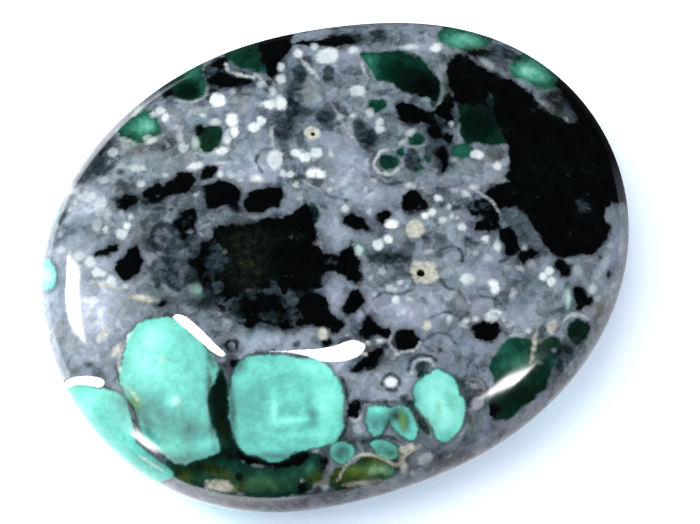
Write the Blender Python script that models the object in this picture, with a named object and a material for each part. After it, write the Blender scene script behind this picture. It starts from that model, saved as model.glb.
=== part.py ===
"""A polished freeform pebble of variscite in grey chalcedony, lying on its ground flat.

One natural stone, so one solid: a low domed face, a fully rounded edge and a shallow
underside with a small flat on which it rests. Metres, +Z up, long axis along X.
The origin is the middle of the footprint's box, on the surface the stone lies on.
"""

import math

import bmesh
import bpy
import numpy as np
from mathutils import Vector

MM = 0.001

# The outline seen from above: its radius in millimetres every 30 degrees,
# counter-clockwise from +X. It is an oval with a blunt corner at 150 to 200 degrees.
OUTLINE_RADII = (19.6, 18.5, 16.5, 16.4, 17.5, 19.2, 19.7, 19.1, 17.1, 16.4, 17.3, 18.8)

# The edge profile from the middle of the domed face, over the rounded edge and under
# to the middle of the underside: share of the outline's radius, height in millimetres.
# It is the control cage of a smooth curve, so the curve runs just inside it.
PROFILE_CAGE = (
    (0.00, 7.72),
    (0.30, 7.68),
    (0.58, 7.44),
    (0.80, 6.98),
    (0.955, 6.05),
    (1.016, 4.30),
    (0.99, 2.35),
    (0.90, 0.95),
    (0.72, 0.28),
    (0.48, -0.02),
    (0.24, -0.14),
    (0.00, -0.18),
)
CURVE_STEPS = 40  # samples of the smooth curve between two points of the cage

GRID = 24  # quads along each side of the cube that the pebble is shaped from

STONE_COLOUR = (0.30, 0.31, 0.34, 1.0)
STONE_ROUGHNESS = 0.12


def clear_scene():
    for obj in list(bpy.data.objects):
        bpy.data.objects.remove(obj)


def outline_radius(angle):
    """The smooth closed curve through the outline's radii, in metres."""
    stations = np.asarray(OUTLINE_RADII) * MM
    waves = np.fft.rfft(stations) / len(stations)
    radius = waves[0].real
    for order, wave in enumerate(waves[1:], start=1):
        share = 1.0 if order == len(stations) // 2 else 2.0
        turned = complex(math.cos(order * angle), math.sin(order * angle))
        radius += share * (wave * turned).real
    return radius


def profile_curve():
    """The smooth edge profile at even steps of its length, as shares of radius and metres."""
    cage = np.asarray(PROFILE_CAGE)
    before, after = 2 * cage[0] - cage[1], 2 * cage[-1] - cage[-2]
    cage = np.vstack([before, cage, after])
    steps = np.linspace(0.0, 1.0, CURVE_STEPS, endpoint=False)
    spans = []
    for start in range(len(cage) - 3):
        a, b, c, d = cage[start : start + 4]
        for u in steps:
            spans.append(
                ((1 - u) ** 3 * a + (3 * u**3 - 6 * u**2 + 4) * b
                 + (-3 * u**3 + 3 * u**2 + 3 * u + 1) * c + u**3 * d) / 6
            )
    curve = np.array(spans)
    widest = curve[:, 0].max()
    curve[:, 0] = np.clip(curve[:, 0] / widest, 0.0, 1.0)
    curve[:, 1] *= MM
    across = curve * (np.mean(OUTLINE_RADII) * MM, 1.0)
    lengths = np.linalg.norm(np.diff(across, axis=0), axis=1)
    travelled = np.concatenate([[0.0], np.cumsum(lengths)])
    return travelled / travelled[-1], curve


def pebble_mesh():
    """A cube's grid drawn onto the pebble, ground flat underneath."""
    travelled, curve = profile_curve()
    bm = bmesh.new()
    bmesh.ops.create_cube(bm, size=2.0)
    bmesh.ops.subdivide_edges(bm, edges=bm.edges[:], cuts=GRID - 1, use_grid_fill=True)
    for vert in bm.verts:
        direction = vert.co.normalized()
        down = math.acos(max(-1.0, min(1.0, direction.z))) / math.pi
        share = np.interp(down, travelled, curve[:, 0])
        height = np.interp(down, travelled, curve[:, 1])
        angle = math.atan2(direction.y, direction.x)
        radius = share * outline_radius(angle)
        vert.co = Vector((radius * math.cos(angle), radius * math.sin(angle), height))
    grind_flat(bm)
    centre_on_origin(bm)
    bmesh.ops.recalc_face_normals(bm, faces=bm.faces[:])
    mesh = bpy.data.meshes.new("polished_stone")
    bm.to_mesh(mesh)
    bm.free()
    return mesh


def grind_flat(bm):
    """Cuts the lowest part off at the surface the stone lies on, and closes the cut."""
    geometry = bm.verts[:] + bm.edges[:] + bm.faces[:]
    cut = bmesh.ops.bisect_plane(
        bm, geom=geometry, dist=0.01 * MM, plane_co=(0, 0, 0), plane_no=(0, 0, 1), clear_inner=True
    )
    rim = [item for item in cut["geom_cut"] if isinstance(item, bmesh.types.BMEdge)]
    bmesh.ops.contextual_create(bm, geom=rim)


def centre_on_origin(bm):
    """Moves the pebble so that the middle of its footprint's box is on the origin."""
    xs = [vert.co.x for vert in bm.verts]
    ys = [vert.co.y for vert in bm.verts]
    middle = Vector((max(xs) + min(xs), max(ys) + min(ys), 0.0)) / 2
    bmesh.ops.translate(bm, verts=bm.verts[:], vec=-middle)


def polished_stone_material():
    material = bpy.data.materials.new("polished_chalcedony")
    material.use_nodes = True
    surface = material.node_tree.nodes["Principled BSDF"]
    surface.inputs["Base Color"].default_value = STONE_COLOUR
    surface.inputs["Roughness"].default_value = STONE_ROUGHNESS
    surface.inputs["Metallic"].default_value = 0.0
    return material


def main():
    clear_scene()
    collection = bpy.data.collections.new("variscite_pebble")
    bpy.context.scene.collection.children.link(collection)
    mesh = pebble_mesh()
    mesh.shade_smooth()
    mesh.materials.append(polished_stone_material())
    collection.objects.link(bpy.data.objects.new("polished_stone", mesh))


main()
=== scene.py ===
"""Looks of a polished pebble: clams replaced by aqua variscite, set in grey chalcedony.

The stone is one piece. Its skin is drawn from the same outline and edge profile as the
solid it stands for, fine enough to carry where each mineral lies and its low polish relief.
"""
import math

import bmesh
import bpy
import numpy as np
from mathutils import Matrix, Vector


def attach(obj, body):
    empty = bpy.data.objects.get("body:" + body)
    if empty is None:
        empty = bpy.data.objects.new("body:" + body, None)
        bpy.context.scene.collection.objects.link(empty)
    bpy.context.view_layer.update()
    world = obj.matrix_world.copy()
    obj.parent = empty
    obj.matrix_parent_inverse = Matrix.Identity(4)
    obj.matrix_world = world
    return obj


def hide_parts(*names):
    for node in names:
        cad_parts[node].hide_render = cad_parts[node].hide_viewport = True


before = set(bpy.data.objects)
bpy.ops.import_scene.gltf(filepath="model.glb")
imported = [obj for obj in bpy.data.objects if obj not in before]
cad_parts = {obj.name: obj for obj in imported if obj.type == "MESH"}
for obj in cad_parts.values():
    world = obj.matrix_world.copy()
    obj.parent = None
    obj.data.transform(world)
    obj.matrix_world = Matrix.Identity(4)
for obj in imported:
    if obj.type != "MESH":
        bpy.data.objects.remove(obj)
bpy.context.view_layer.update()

MM = 0.001

# The pebble's form, in millimetres: its outline's radius every 30 degrees from +X, and its
# edge profile from the middle of the face to the middle of the underside, as a control cage.
OUTLINE_RADII = (19.6, 18.5, 16.5, 16.4, 17.5, 19.2, 19.7, 19.1, 17.1, 16.4, 17.3, 18.8)
PROFILE_CAGE = (
    (0.00, 7.72), (0.30, 7.68), (0.58, 7.44), (0.80, 6.98), (0.955, 6.05), (1.016, 4.30),
    (0.99, 2.35), (0.90, 0.95), (0.72, 0.28), (0.48, -0.02), (0.24, -0.14), (0.00, -0.18),
)
CURVE_STEPS = 40  # samples of the smooth curve between two points of the cage
GRID = 128  # quads along each side of the cube that the skin is drawn from
FACE_SHARE = 118.0  # degrees of the cube's sphere, out of 180, that go to the face and its edge

# The camera, which looks down at the face as the photograph does.
CAMERA_ELEVATION = 66.0
CAMERA_AZIMUTH = -30.0
CAMERA_DISTANCE_MM = 152.0
CAMERA_AIM_MM = (0.43, -0.82, 3.5)
LENS_MM = 120.0
SENSOR_MM = 36.0
PHOTO_WIDTH, PHOTO_HEIGHT = 700, 524

# Where the minerals meet the surface, read in the photograph's pixels.
# An outline is a closed run of points. A spot is its middle, its half width and half
# height, and how far it is turned, in degrees clockwise. A cloud is a soft spot with a strength.

BLACK_OUTLINES = {
    "great patch": (
        (450, 62), (457, 54), (466, 55), (474, 62), (484, 69), (497, 72), (508, 80), (520, 85), (532, 94),
        (541, 107), (555, 115), (567, 121), (578, 119), (584, 105), (590, 112), (606, 128), (622, 155),
        (634, 182), (636, 200), (610, 204), (606, 216), (611, 232), (603, 243), (592, 254), (575, 255),
        (558, 257), (548, 249), (539, 236), (530, 222), (521, 210), (508, 208), (500, 212), (492, 203),
        (484, 195), (488, 188), (503, 182), (508, 168), (509, 150), (505, 136), (497, 124), (494, 108),
        (486, 106), (468, 104), (454, 100), (449, 84), (446, 76),
    ),
    "under the green nodule": (
        (395, 103), (405, 101), (415, 104), (425, 111), (436, 106), (444, 97), (450, 92), (455, 104),
        (452, 114), (446, 122), (436, 125), (424, 123), (410, 125), (401, 121), (396, 112),
    ),
    "above the great patch": (
        (556, 82), (572, 78), (590, 94), (604, 114), (612, 132), (596, 134), (583, 124), (574, 112),
        (563, 98),
    ),
    "hook": (
        (427, 131), (430, 126), (438, 127), (442, 134), (448, 133), (453, 138), (450, 143), (442, 141),
        (435, 138),
    ),
    "crescent": (
        (436, 155), (441, 148), (446, 150), (448, 158), (449, 164), (445, 171), (441, 171), (440, 162),
    ),
    "right lobe": (
        (467, 207), (474, 202), (484, 199), (494, 203), (500, 214), (501, 228), (492, 233), (480, 232),
        (476, 227), (482, 221), (488, 217), (478, 216), (471, 213),
    ),
    "below the lobe": (
        (500, 229), (513, 229), (517, 238), (521, 248), (516, 253), (509, 256), (503, 251), (502, 241),
    ),
    "small by the lobe": (
        (516, 258), (522, 252), (530, 249), (538, 252), (535, 257), (529, 260), (525, 266), (519, 262),
    ),
    "right spot": ((555, 265), (561, 261), (567, 262), (572, 268), (569, 275), (563, 277), (558, 272)),
    "right rim spot": (
        (571, 289), (578, 286), (584, 291), (588, 296), (593, 299), (587, 306), (580, 310), (575, 304),
    ),
    "middle spot": (
        (401, 200), (406, 194), (411, 190), (418, 192), (424, 200), (428, 207), (422, 211), (410, 213),
        (403, 209),
    ),
    "small by the middle": ((378, 215), (383, 211), (389, 210), (390, 216), (386, 220), (382, 223)),
    "spot with a tail": (
        (342, 221), (348, 215), (354, 213), (361, 216), (366, 222), (374, 230), (370, 233), (362, 229),
        (355, 230), (347, 227),
    ),
    "row, far left": (
        (111, 200), (120, 197), (129, 194), (137, 196), (138, 201), (133, 206), (126, 209), (117, 206),
    ),
    "row, left": (
        (144, 192), (151, 187), (157, 183), (163, 188), (168, 180), (178, 174), (187, 172), (194, 177),
        (194, 187), (186, 193), (170, 195), (160, 202), (150, 203), (144, 198),
    ),
    "row, small": ((203, 170), (210, 165), (217, 168), (215, 176), (207, 180), (200, 177)),
    "row, middle": (
        (204, 190), (208, 183), (217, 180), (228, 181), (236, 185), (242, 192), (240, 201), (240, 211),
        (235, 212), (231, 206), (224, 204), (215, 207), (208, 207), (205, 200),
    ),
    "row, right": (
        (244, 200), (250, 194), (255, 188), (265, 190), (275, 186), (284, 190), (282, 199), (279, 206),
        (270, 209), (262, 213), (252, 212), (245, 207),
    ),
    "left of the core": (
        (174, 223), (182, 213), (190, 208), (197, 211), (196, 222), (192, 233), (184, 240), (178, 232),
    ),
    "core": (
        (203, 243), (210, 238), (214, 230), (222, 226), (235, 222), (246, 225), (258, 224), (264, 219),
        (274, 216), (286, 215), (297, 209), (306, 205), (313, 212), (314, 226), (319, 240), (322, 250),
        (337, 256), (344, 247), (352, 244), (357, 255), (362, 268), (364, 280), (357, 285), (348, 281),
        (338, 273), (326, 274), (322, 280), (322, 287), (313, 291), (320, 292), (327, 300), (330, 312),
        (341, 318), (343, 330), (336, 336), (328, 330), (316, 327), (304, 325), (292, 330), (278, 328),
        (264, 323), (250, 329), (240, 324), (229, 312), (218, 307), (208, 297), (200, 286), (196, 272),
        (189, 262), (198, 251),
    ),
    "tall spot": (
        (342, 309), (347, 300), (351, 293), (356, 290), (362, 292), (365, 300), (361, 310), (352, 316),
        (346, 314),
    ),
    "leaning spot": (
        (357, 336), (361, 326), (364, 318), (370, 315), (375, 320), (382, 328), (391, 331), (388, 337),
        (376, 335), (366, 339),
    ),
    "round spot": (
        (393, 341), (395, 334), (401, 330), (412, 330), (418, 335), (419, 343), (414, 349), (404, 351),
        (396, 348),
    ),
    "beside the clam": (
        (350, 371), (357, 364), (364, 356), (371, 350), (381, 349), (383, 357), (378, 364), (371, 369),
        (362, 370), (357, 375),
    ),
    "square spot": ((347, 411), (349, 403), (355, 399), (362, 401), (362, 411), (357, 417), (349, 417)),
    "left spot": (
        (114, 268), (117, 262), (122, 256), (127, 250), (131, 247), (137, 245), (140, 251), (143, 259),
        (142, 267), (139, 273), (131, 277), (124, 281), (119, 278), (115, 273),
    ),
    "left smear": ((94, 257), (98, 251), (106, 247), (117, 244), (118, 248), (112, 254), (106, 257)),
    "spot by the green body": (
        (471, 328), (477, 323), (486, 320), (495, 321), (501, 328), (499, 336), (490, 341), (480, 338),
        (474, 334),
    ),
    "under the second clam": (
        (236, 450), (256, 456), (270, 459), (284, 458), (300, 450), (312, 450), (304, 462), (286, 467),
        (264, 467), (246, 464),
    ),
    "top edge": (
        (256, 32), (272, 27), (290, 27), (292, 44), (285, 56), (277, 68), (272, 79), (266, 72), (261, 58),
    ),
    "top edge, right": ((296, 43), (312, 40), (330, 38), (346, 36), (354, 42), (340, 47), (318, 46)),
    "top, left": (
        (204, 70), (214, 60), (226, 58), (230, 74), (244, 79), (252, 82), (240, 86), (224, 87), (212, 85),
        (205, 80),
    ),
}
BLACK_SPOTS = (
    (481, 53, 12, 4, 5), (232, 345, 7, 7, 0), (232, 365, 6, 5, -30), (326, 342, 5, 6, 30),
    (324, 462, 4, 8, 0), (168, 92, 5, 4, -30), (303, 487, 4, 5, 0), (396, 466, 6, 3, 40),
    (240, 478, 4, 6, 0), (495, 411, 6, 7, 0), (600, 259, 3, 3, 0), (610, 275, 3, 4, 0),
    (163, 303, 4, 2.6, -30), (200, 129, 5, 5, 0), (475, 95, 14, 6, 0), (188, 218, 9, 9, 0),
    (446, 118, 8, 9, 0),
)
# Grey and olive grains inside the black, which show through it.
BLACK_GAPS = (
    (292, 312, 3.4, 9, 0), (333, 262, 3, 2, 0), (491, 107, 4, 13, 0), (418, 97, 16, 2.4, 5),
    (300, 294, 8, 4, -20), (232, 345, 3, 3, 0), (323, 243, 4, 4, 0), (227, 320, 5, 5, 0),
)
# Where the black thins to a smoky slate: soft clouds, with a strength.
BLACK_CLOUDS = (
    (212, 276, 13, 30, 0, 0.85), (234, 312, 18, 16, 0, 0.75), (292, 300, 14, 22, 0, 0.55),
    (204, 300, 12, 12, 0, 0.85), (188, 222, 12, 14, 0, 0.4), (480, 207, 12, 6, 0, 0.85),
    (272, 316, 24, 8, 0, 0.8), (252, 291, 14, 7, 0, 0.85), (222, 244, 12, 10, 0, 0.45),
    (300, 238, 14, 18, 0, 0.4), (272, 288, 8, 7, 0, 0.8), (220, 262, 9, 12, 0, 0.8),
    (582, 202, 10, 10, 0, 0.75), (336, 262, 10, 5, 0, 0.45), (212, 70, 12, 8, 0, 0.65),
    (492, 226, 10, 6, 0, 0.35), (235, 380, 10, 50, 0, 0.2), (446, 118, 10, 12, 0, 0.55),
    (350, 226, 5, 5, 0, 0.15), (258, 232, 20, 8, 0, 0.35), (330, 262, 10, 8, 0, 0.3),
    (118, 202, 12, 8, 0, 0.35), (160, 198, 14, 7, 0, 0.35), (104, 250, 14, 7, -20, 0.55),
    (404, 100, 14, 5, 0, 0.2), (560, 190, 30, 30, 0, 0.1), (500, 240, 10, 12, 0, 0.15),
)

# Dark slate marks, softer than the black ones.
SLATE_SPOTS = (
    (300, 74, 7, 10, 0), (328, 74, 6, 10, 10), (291, 102, 4, 16, 0), (389, 258, 18, 5.5, 0),
    (362, 134, 7, 17, -22), (284, 131, 10, 9, 0), (323, 117, 8, 7, 0), (306, 112, 12, 4, 10),
    (154, 246, 3, 7, -15), (157, 281, 4, 8, -20), (103, 384, 3, 3, 0), (297, 344, 4, 3, -20),
    (422, 367, 7, 6, 0), (455, 208, 5, 3, 0), (98, 158, 20, 10, -52), (82, 178, 10, 5, -20),
    (99, 168, 9, 8, 0), (62, 217, 3, 8, 35), (412, 160, 8, 12, -10), (472, 391, 4, 5, 30),
    (577, 340, 7, 4, 0), (232, 206, 3, 4, 0), (278, 240, 3, 6, 0), (345, 342, 8, 5, -20),
    (386, 345, 5, 4, 0), (190, 236, 8, 6, -30), (172, 268, 5, 4, 0), (192, 262, 7, 5, -30),
    (176, 285, 3, 6, 60), (163, 238, 4, 4, 0), (120, 172, 5, 4, 0), (268, 88, 5, 7, 0),
    (306, 60, 5, 6, 0), (470, 240, 8, 3, 30), (560, 352, 5, 8, 20), (164, 148, 3, 3, 0),
    (89, 365, 4, 2.6, 0), (507, 53, 20, 5, 25), (573, 96, 14, 6, 52), (430, 150, 5, 8, 0),
    (440, 350, 3, 3, 0), (350, 38, 20, 5, 0), (378, 36, 10, 7, 0),
)
# Thin dark skins of rounded grains, and painted shade along the edges of the clams, as runs of
# points with a half width.
SLATE_LINES_AND_PAINTED_SHADE = (
    (2.9, (
        (152, 236), (155, 228), (163, 225), (171, 229), (175, 238), (171, 247), (163, 250), (156, 246),
    )),
    (3.0, ((151, 270), (156, 262), (168, 258), (179, 262), (186, 270), (186, 282), (178, 288))),
    (2.5, ((184, 283), (192, 278), (203, 279), (209, 288), (208, 298), (200, 303))),
    (2.6, ((172, 254), (180, 248), (190, 241), (198, 236))), (2.4, ((190, 262), (196, 254), (204, 252))),
    (1.8, ((383, 384), (385, 377), (391, 374), (398, 378), (399, 385), (394, 390), (387, 389))),
    (1.4, ((129, 400), (134, 412), (136, 424), (140, 436), (150, 448))),
    (1.3, ((121, 352), (118, 366), (119, 380))), (3.4, ((403, 398), (411, 409), (419, 419), (427, 432))),
    (2.4, ((456, 376), (463, 388), (469, 404))),
    (2.0, ((409, 370), (410, 362), (417, 356), (427, 355), (436, 360))),
    (1.7, ((466, 383), (474, 378), (483, 382), (487, 392), (484, 404), (478, 411))),
    (1.8, ((342, 378), (347, 396), (347, 414), (344, 432), (336, 444))),
    (1.5, ((238, 366), (248, 357), (262, 353), (280, 353))), (1.3, ((296, 240), (304, 236), (308, 246))),
    (1.0, ((424, 340), (436, 333), (448, 335), (455, 343))), (0.9, ((430, 318), (445, 312), (458, 316))),
    (1.5, ((362, 442), (378, 438), (390, 437), (402, 443))),
    (1.0, ((372, 300), (384, 292), (398, 295), (412, 290))), (1.0, ((360, 300), (366, 316), (380, 326))),
    (1.1, ((440, 250), (452, 246), (462, 252), (462, 262))), (1.0, ((500, 262), (512, 258), (524, 262))),
    (1.0, ((440, 280), (448, 288), (460, 292), (466, 302))), (1.0, ((480, 296), (496, 300), (506, 310))),
    (1.2, ((150, 212), (160, 208), (172, 210))), (1.1, ((316, 186), (330, 196), (346, 200))),
    (1.0, ((262, 150), (256, 160), (262, 172))), (1.2, ((372, 176), (388, 184), (402, 182))),
    (1.6, ((388, 404), (392, 412), (388, 424), (380, 434))), (1.2, ((366, 402), (380, 402), (398, 402))),
)

# The clams, now aqua variscite.
CLAM_OUTLINES = {
    "left clam": (
        (128, 337), (135, 328), (143, 321), (154, 318), (168, 317), (177, 319), (187, 325), (196, 335),
        (204, 345), (213, 357), (218, 368), (214, 380), (209, 394), (208, 408), (212, 424), (217, 440),
        (219, 451), (208, 456), (195, 460), (182, 464), (170, 460), (158, 448), (145, 439), (139, 426),
        (136, 413), (129, 400), (122, 388), (119, 376), (123, 358),
    ),
    "second clam": (
        (232, 375), (240, 363), (250, 356), (266, 355), (284, 355), (298, 358), (311, 358), (322, 362),
        (331, 370), (338, 380), (343, 394), (344, 410), (343, 426), (338, 438), (326, 445), (310, 449),
        (296, 452), (284, 459), (272, 461), (258, 456), (246, 453), (239, 446), (234, 433), (230, 416),
        (229, 398), (230, 384),
    ),
    "edge clam": (
        (60, 386), (72, 384), (88, 387), (104, 389), (118, 392), (126, 400), (129, 412), (132, 424),
        (134, 438), (145, 450), (158, 461), (170, 470), (172, 478), (150, 482), (116, 468), (82, 440),
        (58, 408),
    ),
    "right clam": (
        (431, 372), (438, 369), (446, 374), (454, 379), (458, 390), (464, 402), (465, 414), (461, 427),
        (454, 438), (444, 442), (437, 438), (433, 429), (428, 420), (419, 409), (414, 397), (415, 387),
        (420, 380),
    ),
    "left of the pair": (
        (368, 409), (377, 406), (388, 408), (389, 417), (385, 428), (378, 435), (370, 432), (366, 420),
    ),
    "right of the pair": (
        (391, 409), (399, 406), (407, 407), (413, 415), (417, 428), (416, 438), (408, 440), (398, 432),
        (390, 423), (389, 415),
    ),
    "small, low left": (
        (331, 447), (340, 442), (350, 443), (355, 450), (353, 458), (344, 464), (335, 462), (330, 455),
    ),
    "small, low right": (
        (371, 444), (380, 441), (391, 442), (397, 449), (395, 457), (386, 458), (376, 452),
    ),
}
CLAM_SPOTS = ((47, 275, 9, 15, 0), (54, 214, 4, 10, 15))

# Grains of darker green variscite.
GREEN_OUTLINES = {
    "between the clams": (
        (206, 388), (212, 377), (219, 370), (226, 377), (230, 392), (232, 408), (236, 424), (240, 440),
        (246, 454), (236, 464), (224, 462), (216, 448), (211, 430), (206, 408),
    ),
    "lower right body": (
        (491, 362), (497, 353), (503, 344), (514, 338), (528, 339), (537, 345), (548, 338), (557, 337),
        (561, 347), (556, 360), (551, 372), (547, 387), (536, 398), (526, 405), (513, 416), (501, 422),
        (491, 417), (489, 404), (493, 392), (492, 377),
    ),
    "disc": (
        (565, 330), (570, 322), (579, 319), (588, 323), (590, 332), (586, 340), (576, 345), (568, 339),
    ),
    "top nodule": (
        (362, 53), (375, 51), (390, 50), (405, 51), (417, 55), (426, 62), (431, 72), (439, 79), (441, 92),
        (437, 105), (429, 100), (415, 94), (402, 91), (388, 82), (377, 80), (370, 70), (365, 62),
    ),
    "top edge, left": (
        (222, 52), (236, 42), (254, 34), (272, 30), (276, 48), (272, 64), (268, 74), (254, 71), (240, 68),
        (230, 62),
    ),
    "top left": ((158, 90), (170, 78), (186, 66), (200, 64), (206, 82), (204, 96), (190, 100), (176, 98)),
    "left bright": (
        (118, 131), (127, 118), (142, 108), (152, 112), (159, 120), (160, 133), (152, 141), (140, 143),
        (128, 143),
    ),
    "ringed": (
        (197, 135), (200, 127), (212, 126), (223, 127), (223, 137), (217, 147), (208, 153), (201, 150),
        (198, 142),
    ),
    "right edge": (
        (512, 64), (520, 53), (536, 53), (558, 66), (568, 80), (556, 88), (542, 89), (530, 84), (518, 79),
        (511, 72),
    ),
    "top right edge": (
        (438, 36), (450, 23), (472, 23), (494, 31), (490, 44), (476, 50), (456, 50), (444, 44),
    ),
    "bay": (
        (458, 100), (476, 95), (492, 98), (502, 112), (509, 128), (508, 142), (494, 146), (478, 143),
        (467, 144), (460, 134), (458, 118),
    ),
    "bottom strip": (
        (166, 462), (180, 458), (200, 456), (216, 452), (232, 452), (244, 462), (262, 466), (284, 465),
        (300, 456), (318, 452), (326, 466), (318, 482), (304, 494), (286, 497), (262, 499), (244, 494),
        (226, 495), (206, 490), (188, 484), (174, 477),
    ),
    "bottom right": (
        (330, 476), (338, 466), (350, 466), (360, 457), (374, 456), (388, 461), (397, 468), (393, 478),
        (380, 483), (362, 486), (345, 492), (332, 488),
    ),
}
GREEN_SPOTS = (
    (377, 105, 9, 7, 0), (389, 162, 9, 8, 0), (416, 138, 8, 7, 20), (463, 151, 12, 7, 0),
    (143, 112, 6, 6, -30), (134, 404, 4, 8, -25), (196, 143, 5, 6, 0), (492, 108, 5, 17, 0),
    (508, 238, 8, 10, 0), (359, 250, 5, 6, 0), (313, 214, 6, 10, 0), (424, 374, 8, 4, 0),
    (462, 384, 5, 8, -30), (424, 425, 5, 9, -30), (569, 298, 4, 11, 0), (433, 95, 5, 10, 0),
    (199, 290, 8, 6, 0), (400, 152, 5, 4, 0), (418, 166, 5, 7, 0), (410, 402, 4, 6, -30),
    (490, 222, 9, 8, 0), (428, 158, 4, 5, 0), (322, 332, 4, 5, 0),
)

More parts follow.
